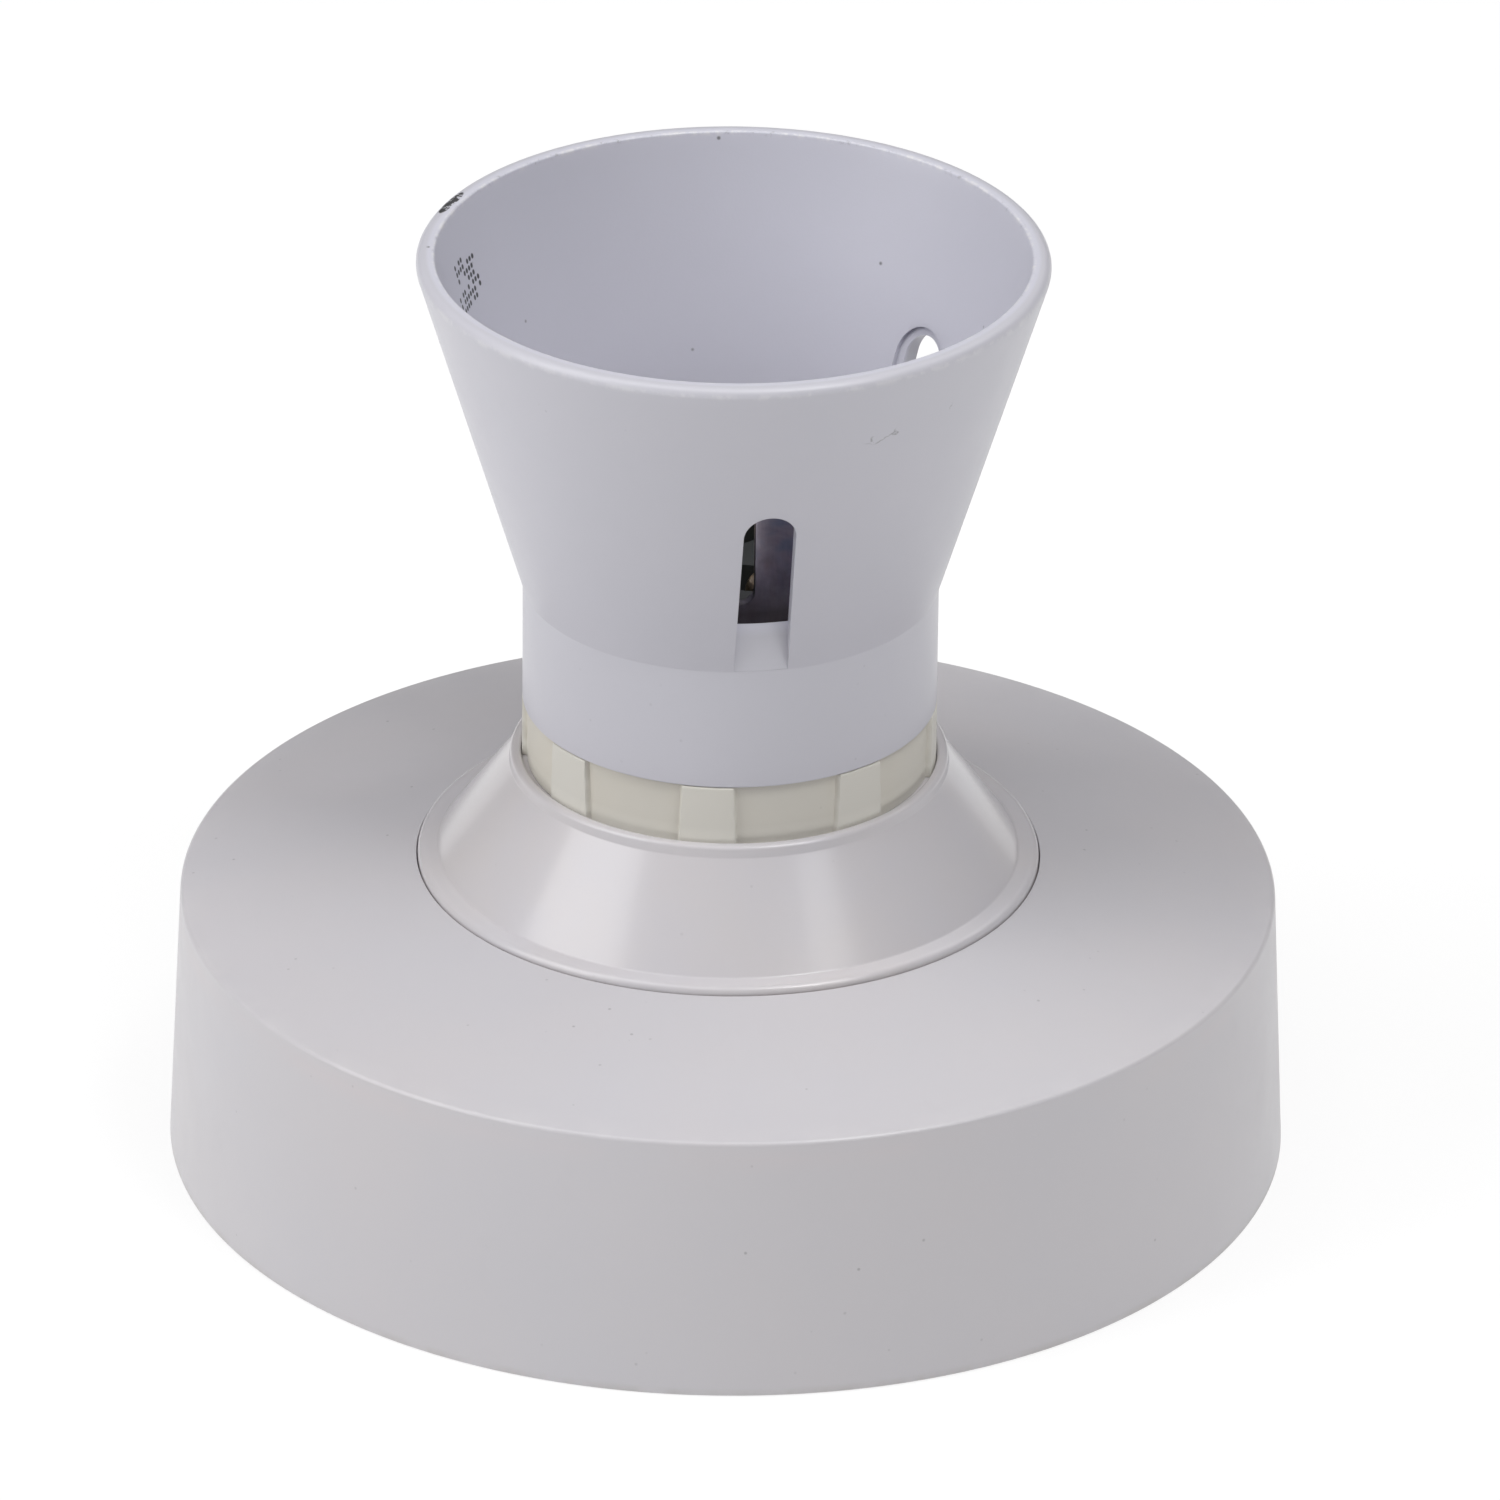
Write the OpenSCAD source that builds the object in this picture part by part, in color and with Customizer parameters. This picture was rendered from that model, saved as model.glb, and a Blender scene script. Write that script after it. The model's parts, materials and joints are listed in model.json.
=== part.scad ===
// Batten lampholder with a bayonet sleeve and a long flared skirt.
// +Z points away from the mounting surface, the origin is the middle of the back face.
// An azimuth of 0 is the front (-Y) and grows towards +X.

/* [Base cover] */
// Radius of the cover at its back edge
cover_r = 50; // [49:0.5:51]
// Radius of the shoulder where the side meets the sloping top
shoulder_r = 48.85; // [48:0.05:48.9]
// Height of the shoulder
shoulder_z = 24.3; // [23.5:0.1:25]
// Radius of the hole in the middle
hole_r = 27.8; // [27.7:0.05:28]
// Height of the cover at the hole
hole_z = 27.6; // [27.2:0.1:28]
// Wall of the cover
cover_wall = 2; // [1.6:0.1:2.2]
// Number of locating ribs inside the cover
cover_ribs = 6; // [3:1:12]

/* [Collar] */
// Radius of the collar's flange
flange_r = 27.6; // [27.4:0.05:27.6]
// Radius of the cone at its foot
cone_foot_r = 25.87; // [25.5:0.1:26]
// Height of the flange's top and the cone's foot
cone_foot_z = 28.25; // [28:0.05:28.4]
// Radius of the cone at its top
cone_top_r = 19.55; // [19.3:0.05:19.7]
// Height of the cone's top
cone_top_z = 36.87; // [36.6:0.05:37]

/* [Lock ring] */
// Radius of the ring between its pads
ring_r = 17.95; // [17.8:0.05:18]
// Radius over the pads
pad_r = 18.4; // [18.2:0.05:18.45]
// Height of the ring's top
ring_top_z = 43.1; // [42.8:0.1:43.1]
// Number of grip pads
pads = 8; // [6:1:10]
// Angle that one pad covers
pad_angle = 16; // [12:1:20]
// Azimuth of the pad nearest the front
pad_azimuth = -5.8; // [-10:0.1:10]

/* [Skirt] */
// Outer radius of the neck
neck_r = 18.38; // [18.3:0.02:18.5]
// Height of the neck's lower edge
neck_z = 43.2; // [43.2:0.1:43.5]
// Height where the neck meets the flared cone
flare_z = 54.5; // [54.4:0.1:54.6]
// Outer radius of the rim
rim_r = 28.02; // [27.5:0.1:28.5]
// Height of the rim
rim_z = 85.9; // [84:0.1:88]
// Inner radius of the rim
rim_bore_r = 25.85; // [25.5:0.05:26]
// Width of a slot
slot_w = 4.6; // [4:0.1:5]
// Height of a slot's arched top
slot_top_z = 71.9; // [68:0.1:74]
// Number of slots
slots = 3; // [2:1:4]
// Azimuth of the front slot
slot_azimuth = 8.45; // [0:0.05:20]
// How far the pocket inside the wall reaches past its slot
pocket_margin = 1.1; // [0.8:0.1:1.4]
// Depth of that pocket
pocket_depth = 0.7; // [0.4:0.1:0.8]

/* [Bayonet sleeve] */
// Bore radius of the sleeve
sleeve_bore_r = 11.2; // [11.1:0.05:11.25]
// Outer radius of the sleeve
sleeve_r = 12; // [11.9:0.05:12.1]
// Height of the sleeve's rim
sleeve_top_z = 67; // [66:0.1:68]
// Width of a J-slot
j_w = 3; // [2.6:0.1:3.2]
// Lowest point of the J-slots
j_bottom_z = 57.9; // [57.7:0.1:58.2]
// Azimuth of the first J-slot's leg
j_azimuth = 3.2; // [0:0.1:10]
// Angle that the lamp turns to lock
j_twist = 18.2; // [15:0.1:22]
// Number of J-slots
j_slots = 3; // [2:1:3]

/* [Contacts] */
// Distance of each plunger from the axis
plunger_offset = 6; // [5.8:0.1:6.2]
// Radius of a plunger
plunger_r = 2; // [1.9:0.02:2]
// Height of a plunger's tip
plunger_top_z = 57.9; // [57.5:0.1:58.1]
// Height of the contact block's face
block_top_z = 57; // [56.8:0.1:57]
// Azimuth of the live plunger
live_azimuth = 33; // [30:1:36]

/* [Mounting plate] */
// Radius of the plate
plate_r = 46.6; // [46.2:0.1:46.6]
// Thickness of the plate
plate_t = 3; // [2.8:0.1:3]
// Distance between the fixing slots' centres
fixing_spacing = 51; // [50.8:0.1:51.2]
// Width of a fixing slot
fixing_w = 4.6; // [4.2:0.1:5]
// Length of a fixing slot
fixing_l = 10; // [8:0.5:12]
// Radius of the cable hole
cable_r = 8; // [6:0.5:8]

/* [Hidden] */
$fn = 96;
eps = 0.01;
seat = 0.05; // gap between faces that bear on each other across two bodies
flush = 0.02; // what a flat keeps clear of the tangent of the round end that it runs into

// cover
seat_z = 25.6; // the seat that carries the collar
ledge_r = 24.5;
cover_slope = (hole_z - shoulder_z) / (shoulder_r - hole_r);
rib_r = 46.7;
rib_top_z = 14;

// collar
collar_bore_r = 16.6;
collar_top_z = 37.3; // the face that the lock ring bears on
lip_z = 37.9;
lip_r = 19.45;
lip_bore_r = 18.55;

// threads on the barrel, in the ring and in the neck
thread_root_r = 15.7;
thread_crest_r = 16.2;
nut_crest_r = 16.4;
nut_root_r = 16.85;
pitch = 2;
thread_z = 31;
thread_turns = 11;

// skirt
flare_slope = (rim_r - neck_r) / (rim_z - flare_z);
web_z = flare_z - 0.1; // underside of the inner shoulder that holds the sleeve down
web_t = 1.1;
web_bore_r = 12.6;
pocket_z = 57;

// barrel that carries the block and the sleeve
barrel_r = 15.2;
barrel_bore_r = 13.2;
barrel_z = 8; // underside of its foot, on the plate's two bosses
foot_t = 3;
foot_r = 17;
barrel_top_z = 53.4;
block_r = 10.9;
block_flange_r = 13.5;
block_flange_z = 51;
block_bottom_z = 40;
sleeve_flange_r = 15.4;
sleeve_flange_t = 0.8;
sleeve_low_r = 11; // bore below the step
sleeve_step_z = 58.5;

// contacts
chamber_r = 2.9;
chamber_top_z = 52.5;
recess_r = 2.55; // oblong recess that each plunger stands in, at one end of it
recess_l = 3.3;
recess_angle = 138;
recess_z = 54;
plug_top_z = 42;
spigot_z = 49;
plunger_flange_z = 51.1;
spring_r = 1.95;
wire_r = 0.22;
spring_turns = 6;
brass_block = 7;
neutral_azimuth = live_azimuth + 180;

// supply terminals
row_y = -31.5;
row_pitch = 11;
terminal_size = [8, 9, 9];
terminal_z = 5;
wire_z = 9.5;
earth_at = [-24, 25];
lead_r = 1.2;
core_r = 0.7;
exit_w = 14; // window in the barrel for the leads
exit_z = [12, 19];

// screws
holder_screw_r = 20.1;
ear_r = 4.2;
ear_t = 2.2;
holder_screw_angles = [45, 225];
block_screw_x = 18.75;
cable_y = 31;

// Middle of the plunger at an azimuth, at a height
function contact_at(azimuth, z) = [plunger_offset * sin(azimuth), -plunger_offset * cos(azimuth), z];

// routes of the two leads, from the contact terminals to the supply terminals
live_route = [
    contact_at(live_azimuth, 32.9), contact_at(live_azimuth, 29), [2.2, -7.2, 22], [1, -10.5, 17.3],
    [0.3, -15, 14.4], [0.1, -19.5, 11.2], [0, -23, 9.7], [0, -26, 9.5]
];
neutral_route = [
    contact_at(neutral_azimuth, 32.9), contact_at(neutral_azimuth, 29), [-5.2, 3.6, 24],
    [-6.8, 0, 19.5], [-6.4, -6.5, 16.5], [-5, -12.5, 15.2], [-6.5, -17.5, 13.2],
    [-10, -21.5, 10.3], [-11, -23.6, 9.6], [-11, -26, 9.5]
];

function unit(v) = v / norm(v);

// An arc of radius r in place of the corner c between the points a and b
function rounded(a, c, b, r, steps = 4) =
    let(
        u = unit(a - c),
        v = unit(b - c),
        half = acos(u * v) / 2,
        m = c + unit(u + v) * r / sin(half),
        from = c + u * r / tan(half) - m,
        turn = sign(cross(from, c + v * r / tan(half) - m)) * (180 - 2 * half),
        start = atan2(from.y, from.x)
    )
    [for (i = [0:steps]) m + r * [cos(start + turn * i / steps), sin(start + turn * i / steps)]];

// An outline of corners [x, y, radius]
function outline(c) = [
    for (i = [0:len(c) - 1])
        let(p = [c[i].x, c[i].y], before = c[(i + len(c) - 1) % len(c)], after = c[(i + 1) % len(c)])
        each c[i].z > 0
            ? rounded([before.x, before.y], p, [after.x, after.y], c[i].z)
            : [p]
];

// Corners of a row of thread ridges, going up
function ridges(root, crest, z, turns) = [
    for (i = [0:turns - 1], k = [[0.2, root], [0.45, crest], [0.65, crest], [0.9, root]])
        [k[1], z + (i + k[0]) * pitch, 0]
];

// Underside of the cover's sloping top
function ceiling_z(r) = hole_z - cover_wall - (r - hole_r) * cover_slope;

// Bore of the flared skirt
function skirt_bore_r(z) = rim_bore_r - (rim_z - z) * flare_slope;

function reversed(list) = [for (i = [len(list) - 1:-1:0]) list[i]];

// A smooth path through the points p
function blend(a, b, c, d, t) =
    0.5 * (2 * b + (c - a) * t + (2 * a - 5 * b + 4 * c - d) * t ^ 2 + (3 * b - a - 3 * c + d) * t ^ 3);
function smooth(p, steps = 3) = [
    for (i = [0:len(p) - 2], k = [0:steps - 1])
        blend(p[max(i - 1, 0)], p[i], p[i + 1], p[min(i + 2, len(p) - 1)], k / steps),
    p[len(p) - 1]
];

function helix(r, z0, z1, turns, steps = 14) = [
    for (i = [0:turns * steps])
        [r * cos(360 * i / steps), r * sin(360 * i / steps), z0 + (z1 - z0) * i / (turns * steps)]
];

module revolve(corners) {
    rotate_extrude() polygon(outline(corners));
}

// Part of a ring between two azimuths
module sector(from, to, corners) {
    rotate([0, 0, from - 90]) rotate_extrude(angle = to - from) polygon(outline(corners));
}

module at_azimuth(angle, r = 0) {
    rotate([0, 0, angle]) translate([0, -r, 0]) children();
}

// A round tube along a path
module tube(path, r, side, sides = 8) {
    last = len(path) - 1;
    rings = [
        for (i = [0:last])
            let(
                t = unit(path[min(i + 1, last)] - path[max(i - 1, 0)]),
                u = unit(cross(side, t)),
                v = cross(t, u)
            )
            for (k = [0:sides - 1]) path[i] + r * (cos(360 * k / sides) * u + sin(360 * k / sides) * v)
    ];
    walls = [
        for (i = [0:last - 1], k = [0:sides - 1])
            let(a = i * sides + k, b = i * sides + (k + 1) % sides)
            each [[a, a + sides, b + sides], [a, b + sides, b]]
    ];
    ends = [[for (k = [0:sides - 1]) k], [for (k = [sides - 1:-1:0]) last * sides + k]];
    polyhedron(rings, concat(walls, ends), convexity = 6);
}

// A cheese-head screw with a slotted head, its seat at the origin and its tip below
module screw(r, length, head_r, head_h) {
    difference() {
        cylinder(r = head_r, h = head_h);
        translate([-head_r, -0.4, head_h * 0.5]) cube([2 * head_r, 0.8, head_h]);
    }
    translate([0, 0, -length]) cylinder(r = r, h = length + eps);
}

module fixing_slots() {
    reach = (fixing_l - fixing_w) / 2;
    for (x = [-fixing_spacing / 2, fixing_spacing / 2]) translate([x, 0, -1]) {
        for (s = [-reach, reach]) translate([s, 0, 0]) cylinder(d = fixing_w, h = plate_t + 2);
        translate([-reach, (flush - fixing_w) / 2, 0]) cube([2 * reach, fixing_w - flush, plate_t + 2]);
    }
}

module earth_pocket(size, z, h) {
    translate([earth_at.x - size.x / 2, earth_at.y - size.y / 2, z]) cube([size.x, size.y, h]);
}

module mounting_plate() color("#d8d6d6") {
    rim_t = 2;
    rim_z = 7;
    turret_z = barrel_z - 0.5;
    stiffener_angles = [25, 155, 205, 335];
    difference() {
        union() {
            revolve([
                [0, 0, 0],
                [plate_r, 0, 0],
                [plate_r, rim_z, 0.5],
                [plate_r - rim_t, rim_z, 0.5],
                [plate_r - rim_t, plate_t, 0],
                [foot_r, plate_t, 0],
                [foot_r, turret_z, 0],
                [barrel_bore_r, turret_z, 0],
                [barrel_bore_r, plate_t, 0],
                [0, plate_t, 0]
            ]);
            for (a = holder_screw_angles)
                rotate([0, 0, a]) translate([holder_screw_r, 0, 1]) cylinder(r = ear_r, h = barrel_z - 1);
            for (a = stiffener_angles)
                rotate([0, 0, a]) translate([23, -0.8, 1]) cube([plate_r - 24, 1.6, 4]);
            translate([0, cable_y, 1]) cylinder(r = cable_r + 1.6, h = plate_t + 0.5);
            earth_pocket([11.4, 12.4], 1, 6.5);
        }
        fixing_slots();
        translate([0, cable_y, -1]) cylinder(r = cable_r, h = plate_t + 4);
        earth_pocket([8.2, 9.2], terminal_z, 9);
        for (a = holder_screw_angles)
            rotate([0, 0, a]) translate([holder_screw_r, 0, 1.5]) cylinder(r = 1.4, h = barrel_z);
        for (x = [-block_screw_x, block_screw_x])
            translate([x, row_y, 1.2]) cylinder(r = 1.25, h = plate_t);
    }
}

module base_cover() color("#cecccd") {
    revolve([
        [cover_r, 0, 0],
        [shoulder_r, shoulder_z, 1.2],
        [hole_r, hole_z, 0.3],
        [hole_r, seat_z, 0],
        [ledge_r, seat_z, 0.3],
        [ledge_r, seat_z - cover_wall, 0],
        [hole_r + cover_wall, seat_z - cover_wall, 0],
        [hole_r + cover_wall, ceiling_z(hole_r + cover_wall), 0],
        [shoulder_r - cover_wall, ceiling_z(shoulder_r - cover_wall), 1],
        [cover_r - cover_wall, 0, 0]
    ]);
    for (i = [0:cover_ribs - 1])
        rotate([0, 0, 360 * i / cover_ribs]) translate([rib_r, -0.8, 0.6])
            cube([1.7, 1.6, rib_top_z]);
}

module collar() color("#d2d0d3") {
    wall = 1.7;
    along = unit([cone_top_r - cone_foot_r, cone_top_z - cone_foot_z]);
    inner_foot = [cone_foot_r, cone_foot_z] - wall * [along.y, -along.x];
    inner_top_z = collar_top_z - wall;
    inner_top_r = inner_foot.x + (inner_top_z - inner_foot.y) * along.x / along.y;
    revolve([
        [inner_foot.x, seat_z + seat, 0],
        [flange_r, seat_z + seat, 0],
        [flange_r, cone_foot_z, 0.5],
        [cone_foot_r, cone_foot_z, 0.2],
        [cone_top_r, cone_top_z, 0],
        [lip_r, lip_z, 0.4],
        [lip_bore_r, lip_z, 0.4],
        [lip_bore_r, collar_top_z, 0],
        [collar_bore_r, collar_top_z, 0],
        [collar_bore_r, inner_top_z, 0],
        [inner_top_r, inner_top_z, 0],
        [inner_foot.x, inner_foot.y, 0]
    ]);
}

module lock_ring() color("#bfbab5") {
    bottom_z = collar_top_z + seat;
    revolve(concat(
        [[ring_r, bottom_z, 0], [ring_r, ring_top_z, 0.15], [nut_root_r, ring_top_z, 0]],
        reversed(ridges(nut_root_r, nut_crest_r, bottom_z, 2)),
        [[nut_root_r, bottom_z, 0]]
    ));
    for (i = [0:pads - 1])
        let(middle = pad_azimuth + 360 * i / pads)
            sector(middle - pad_angle / 2, middle + pad_angle / 2, [
                [ring_r - 0.4, bottom_z, 0],
                [pad_r, bottom_z, 0],
                [pad_r, ring_top_z, 0.2],
                [ring_r - 0.4, ring_top_z, 0]
            ]);
}

// A prism with an arched top that runs forward from the axis
module arch(w, bottom_z, top_z) {
    arch_z = top_z - w / 2;
    translate([(flush - w) / 2, -rim_r, bottom_z]) cube([w - flush, rim_r, arch_z - bottom_z]);
    translate([0, 0, arch_z]) rotate([90, 0, 0]) cylinder(d = w, h = rim_r);
}

// One slot, whose floor continues the neck
module slot_cutter() {
    difference() {
        arch(slot_w, flare_z - 1, slot_top_z);
        cylinder(r = neck_r, h = rim_z);
    }
}

// The shallow pocket round one slot, on the inside of the wall
module pocket_cutter() {
    intersection() {
        arch(slot_w + 2 * pocket_margin, pocket_z, slot_top_z + pocket_margin);
        translate([0, 0, pocket_z - 1])
            cylinder(
                r1 = skirt_bore_r(pocket_z - 1) + pocket_depth,
                r2 = skirt_bore_r(rim_z) + pocket_depth,
                h = rim_z - pocket_z + 1
            );
    }
}

module skirt() color("#b4b3b8") {
    web_top_z = web_z + web_t;
    difference() {
        revolve(concat(
            [
                [neck_r, neck_z, 0.15],
                [neck_r, flare_z, 0],
                [rim_r, rim_z, 0.5],
                [rim_bore_r, rim_z, 0.8],
                [skirt_bore_r(web_top_z), web_top_z, 0.6],
                [web_bore_r, web_top_z, 0.3],
                [web_bore_r, web_z, 0]
            ],
            [[nut_root_r, web_z, 0]],
            reversed(ridges(nut_root_r, nut_crest_r, neck_z + 0.5, 5)),
            [[nut_root_r, neck_z, 0]]
        ));
        for (i = [0:slots - 1]) at_azimuth(slot_azimuth + 360 * i / slots) {
            slot_cutter();
            pocket_cutter();
        }
    }
}

module holder_body() color("#ddd9d0") {
    difference() {
        union() {
            revolve(concat(
                [
                    [barrel_bore_r, barrel_z, 0],
                    [foot_r, barrel_z, 0],
                    [foot_r, barrel_z + foot_t, 0.5],
                    [barrel_r, barrel_z + foot_t, 0],
                    [barrel_r, thread_z, 0],
                    [thread_root_r, thread_z, 0]
                ],
                ridges(thread_root_r, thread_crest_r, thread_z, thread_turns),
                [
                    [thread_root_r, barrel_top_z, 0],
                    [block_flange_r + 0.2, barrel_top_z, 0],
                    [block_flange_r + 0.2, block_flange_z, 0],
                    [block_r + 0.4, block_flange_z, 0],
                    [block_r + 0.4, 45, 0],
                    [barrel_bore_r, 45, 0]
                ]
            ));
            for (a = holder_screw_angles) rotate([0, 0, a]) {
                translate([holder_screw_r, 0, barrel_z]) cylinder(r = ear_r, h = ear_t);
                translate([barrel_r - 0.5, flush - ear_r, barrel_z])
                    cube([holder_screw_r - barrel_r + 0.5, 2 * (ear_r - flush), ear_t]);
            }
        }
        for (a = holder_screw_angles)
            rotate([0, 0, a]) translate([holder_screw_r, 0, barrel_z - 1]) cylinder(r = 1.9, h = foot_t + 2);
        translate([-exit_w / 2, -foot_r - 1, exit_z[0]])
            cube([exit_w, foot_r, exit_z[1] - exit_z[0]]);
    }
}

// A round radial hole through the sleeve's wall
module j_end(azimuth, z) {
    at_azimuth(azimuth, sleeve_r - 3) translate([0, 0, z]) rotate([90, 0, 0]) cylinder(d = j_w, h = 4);
}

// A flat-sided radial cut through the sleeve's wall
module j_run(azimuth, z, h) {
    at_azimuth(azimuth, sleeve_r + 1) translate([(flush - j_w) / 2, 0, z]) cube([j_w - flush, 4, h]);
}

// The cut of one J-slot: the leg, the run and the seat at its end
module j_cutter() {
    mid_z = j_bottom_z + j_w / 2;
    seat_rise = 1.3;
    j_run(0, mid_z, sleeve_top_z);
    j_end(0, mid_z);
    sector(-j_twist, 0, [
        [sleeve_r - 3, j_bottom_z + flush, 0],
        [sleeve_r + 1, j_bottom_z + flush, 0],
        [sleeve_r + 1, j_bottom_z + j_w - flush, 0],
        [sleeve_r - 3, j_bottom_z + j_w - flush, 0]
    ]);
    j_end(-j_twist, mid_z);
    j_run(-j_twist, mid_z, seat_rise);
    j_end(-j_twist, mid_z + seat_rise);
}

module bayonet_sleeve() color("#8f8b99") {
    difference() {
        revolve([
            [sleeve_low_r, barrel_top_z, 0],
            [sleeve_flange_r, barrel_top_z, 0],
            [sleeve_flange_r, barrel_top_z + sleeve_flange_t, 0.3],
            [sleeve_r, barrel_top_z + sleeve_flange_t, 0],
            [sleeve_r, sleeve_top_z, 0.3],
            [sleeve_bore_r, sleeve_top_z, 0],
            [sleeve_bore_r, sleeve_step_z, 0],
            [sleeve_low_r, sleeve_step_z, 0]
        ]);
        for (i = [0:j_slots - 1]) at_azimuth(j_azimuth + 360 * i / j_slots) j_cutter();
    }
}

module contact_block() color("#3c4238") {
    difference() {
        union() {
            translate([0, 0, block_bottom_z]) cylinder(r = block_r, h = block_top_z - block_bottom_z);
            translate([0, 0, block_flange_z + seat])
                cylinder(r = block_flange_r, h = barrel_top_z - block_flange_z - 2 * seat);
        }
        for (a = [live_azimuth, neutral_azimuth]) at_azimuth(a, plunger_offset) {
            translate([0, 0, recess_z]) rotate([0, 0, recess_angle]) {
                for (x = [0, recess_l]) translate([x, 0, 0]) cylinder(r = recess_r, h = 4);
                translate([0, flush / 2 - recess_r, 0]) cube([recess_l, 2 * recess_r - flush, 4]);
            }
            cylinder(r = plunger_r + 0.08, h = block_top_z);
            translate([0, 0, block_bottom_z - 1])
                cylinder(r = chamber_r, h = chamber_top_z - block_bottom_z + 1);
        }
    }
}

module plunger(azimuth) {
    head_steps = 8;
    at_azimuth(azimuth, plunger_offset) rotate_extrude() polygon(concat(
        [for (i = [0:head_steps])
            [plunger_r * sin(90 * i / head_steps), plunger_top_z - plunger_r + plunger_r * cos(90 * i / head_steps)]],
        [
            [plunger_r, chamber_top_z - seat],
            [2.6, chamber_top_z - seat],
            [2.6, plunger_flange_z],
            [1.2, plunger_flange_z],
            [1.2, spigot_z],
            [0, spigot_z]
        ]
    ));
}

module spring(azimuth) {
    at_azimuth(azimuth, plunger_offset)
        tube(helix(spring_r, plug_top_z + wire_r, plunger_flange_z - wire_r - seat, spring_turns), wire_r, [0, 0, 1], 6);
}

module contact_terminal(azimuth) {
    bottom_z = block_bottom_z - brass_block;
    at_azimuth(azimuth, plunger_offset) difference() {
        union() {
            translate([0, 0, block_bottom_z - eps]) cylinder(r = chamber_r - 0.05, h = plug_top_z - block_bottom_z);
            translate([-brass_block / 2, -brass_block / 2, bottom_z]) cube(brass_block);
        }
        translate([0, 0, bottom_z - 1]) cylinder(r = 1.3, h = 6);
        translate([0, 0, bottom_z + 3]) rotate([90, 0, 0]) cylinder(r = 1.25, h = brass_block);
    }
}

module contact_screws() color("#b9b4a6") {
    screw_z = block_bottom_z - brass_block + 3;
    for (a = [live_azimuth, neutral_azimuth])
        at_azimuth(a, plunger_offset + brass_block / 2) translate([0, 0, screw_z]) rotate([90, 0, 0])
            screw(1.2, 2.6, 2, 1.2);
}

module holder_screws() color("#b4b2ae") {
    for (a = holder_screw_angles)
        rotate([0, 0, a]) translate([holder_screw_r, 0, barrel_z + ear_t]) screw(1.35, 8, 3, 2);
}

module terminal_block() color("#e2e0dc") {
    front_y = -38;
    depth = 13;
    centre_w = 33;
    difference() {
        union() {
            translate([-21, front_y, plate_t]) cube([42, depth, 6]);
            translate([-centre_w / 2, front_y, plate_t]) cube([centre_w, depth, 11.5]);
            for (x = [-row_pitch / 2, row_pitch / 2])
                translate([x - 0.8, front_y, plate_t]) cube([1.6, depth, 14]);
        }
        for (i = [-1:1]) {
            translate([i * row_pitch - 4.1, row_y - 4.6, terminal_z]) cube([8.2, 9.2, 20]);
            translate([i * row_pitch, front_y + depth + 1, wire_z]) rotate([90, 0, 0])
                cylinder(r = 1.9, h = depth + 2);
        }
        for (x = [-block_screw_x, block_screw_x]) translate([x, row_y, 0]) cylinder(r = 1.5, h = 12);
    }
}

module terminal(at) color("#c7a45a") {
    translate([at.x, at.y, terminal_z]) difference() {
        translate([-terminal_size.x / 2, -terminal_size.y / 2, 0]) cube(terminal_size);
        translate([0, terminal_size.y / 2 + 1, wire_z - terminal_z]) rotate([90, 0, 0])
            cylinder(r = 1.6, h = terminal_size.y + 2);
        translate([0, 0, wire_z - terminal_z]) cylinder(r = 1.5, h = terminal_size.z);
    }
}

module terminal_screws() color("#b9b4a6") {
    seats = [[-row_pitch, row_y], [0, row_y], [row_pitch, row_y], earth_at];
    for (p = seats)
        translate([p.x, p.y, terminal_z + terminal_size.z]) screw(1.45, 3.7, 2.7, 1.7);
}

module block_screws() color("#b4b2ae") {
    for (x = [-block_screw_x, block_screw_x]) translate([x, row_y, plate_t + 6]) screw(1.2, 7.5, 2.2, 1.5);
}

// Insulation along the route, and bare cores in the two terminals
module lead(route) {
    start = route[0];
    finish = route[len(route) - 1];
    tube(smooth(route), lead_r, [1, 0, 0]);
    translate([start.x, start.y, start.z - 1]) cylinder(r = core_r, h = 5);
    translate([finish.x, finish.y + 1, finish.z]) rotate([90, 0, 0]) cylinder(r = core_r, h = 8);
}

mounting_plate();
base_cover();
collar();
lock_ring();
skirt();
holder_body();
bayonet_sleeve();
contact_block();
color("#cfae62") plunger(live_azimuth);  // live_plunger
color("#cfae62") plunger(neutral_azimuth);  // neutral_plunger
color("#9c9ea3") spring(live_azimuth);  // live_spring
color("#9c9ea3") spring(neutral_azimuth);  // neutral_spring
color("#c7a45a") contact_terminal(live_azimuth);  // live_contact_terminal
color("#c7a45a") contact_terminal(neutral_azimuth);  // neutral_contact_terminal
contact_screws();
holder_screws();
terminal_block();
terminal([-row_pitch, row_y]);  // neutral_terminal
terminal([0, row_y]);  // line_terminal
terminal([row_pitch, row_y]);  // loop_terminal
terminal(earth_at);  // earth_terminal
terminal_screws();
block_screws();
color("#6b4226") lead(live_route);  // live_lead
color("#3a5f96") lead(neutral_route);  // neutral_lead
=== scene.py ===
"""Looks of a bayonet batten lampholder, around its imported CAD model. Named lengths are in millimetres."""
import json
import math

import bmesh
import bpy
from mathutils import Matrix, Vector


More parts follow.
